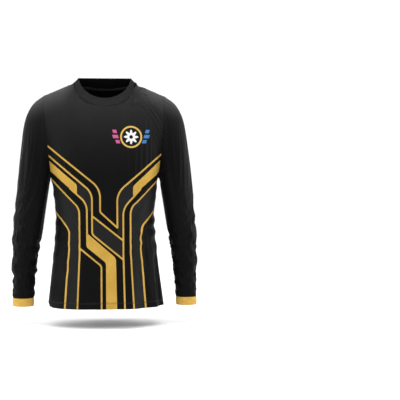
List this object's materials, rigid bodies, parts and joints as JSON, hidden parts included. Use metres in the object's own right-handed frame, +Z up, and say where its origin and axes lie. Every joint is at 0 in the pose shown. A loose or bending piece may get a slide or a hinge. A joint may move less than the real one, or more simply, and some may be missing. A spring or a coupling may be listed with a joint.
{
  "type": "cheer uniform top",
  "caption": "Long-sleeved black crew-neck cheer jersey with gold angular striping and gold cuffs.",
  "frame": {"origin": "midway between the two points where the shoulder seams meet the collar", "axes": "+Z up, +X to the wearer's left, the front of the garment faces -Y"},
  "size_m": [0.584, 0.2507, 0.7178],
  "materials": {
    "fabric": "matte stretch knit with a soft sheen, gold stripes printed in the fabric",
    "rib": "matte rib knit",
    "tape": "matte twill",
    "cuff_rib": "gold rib knit",
    "thread": "matte sewing thread"
  },
  "bodies": {
    "torso": {"front_panel": "fabric", "back_panel": "fabric", "neckband": "rib", "neck_seam": "thread", "back_neck_tape": "tape", "hem_stitch": "thread", "side_seam_left": "thread", "shoulder_seam_left": "thread", "armhole_seam_left": "thread", "side_seam_right": "thread", "shoulder_seam_right": "thread", "armhole_seam_right": "thread"},
    "arm_left": {"sleeve_left": "fabric", "sleeve_seam_left": "thread", "cuff_left": "cuff_rib", "cuff_seam_left": "thread"},
    "arm_right": {"sleeve_right": "fabric", "sleeve_seam_right": "thread", "cuff_right": "cuff_rib", "cuff_seam_right": "thread"}
  },
  "joints": [
    {"name": "shoulder_left", "type": "hinge", "parent": "torso", "child": "arm_left", "pos_m": [0.19, 0, -0.039], "axis": [0, -1, 0], "range_deg": [0, 60]},
    {"name": "shoulder_right", "type": "hinge", "parent": "torso", "child": "arm_right", "pos_m": [-0.19, 0, -0.039], "axis": [0, 1, 0], "range_deg": [0, 60]}
  ]
}
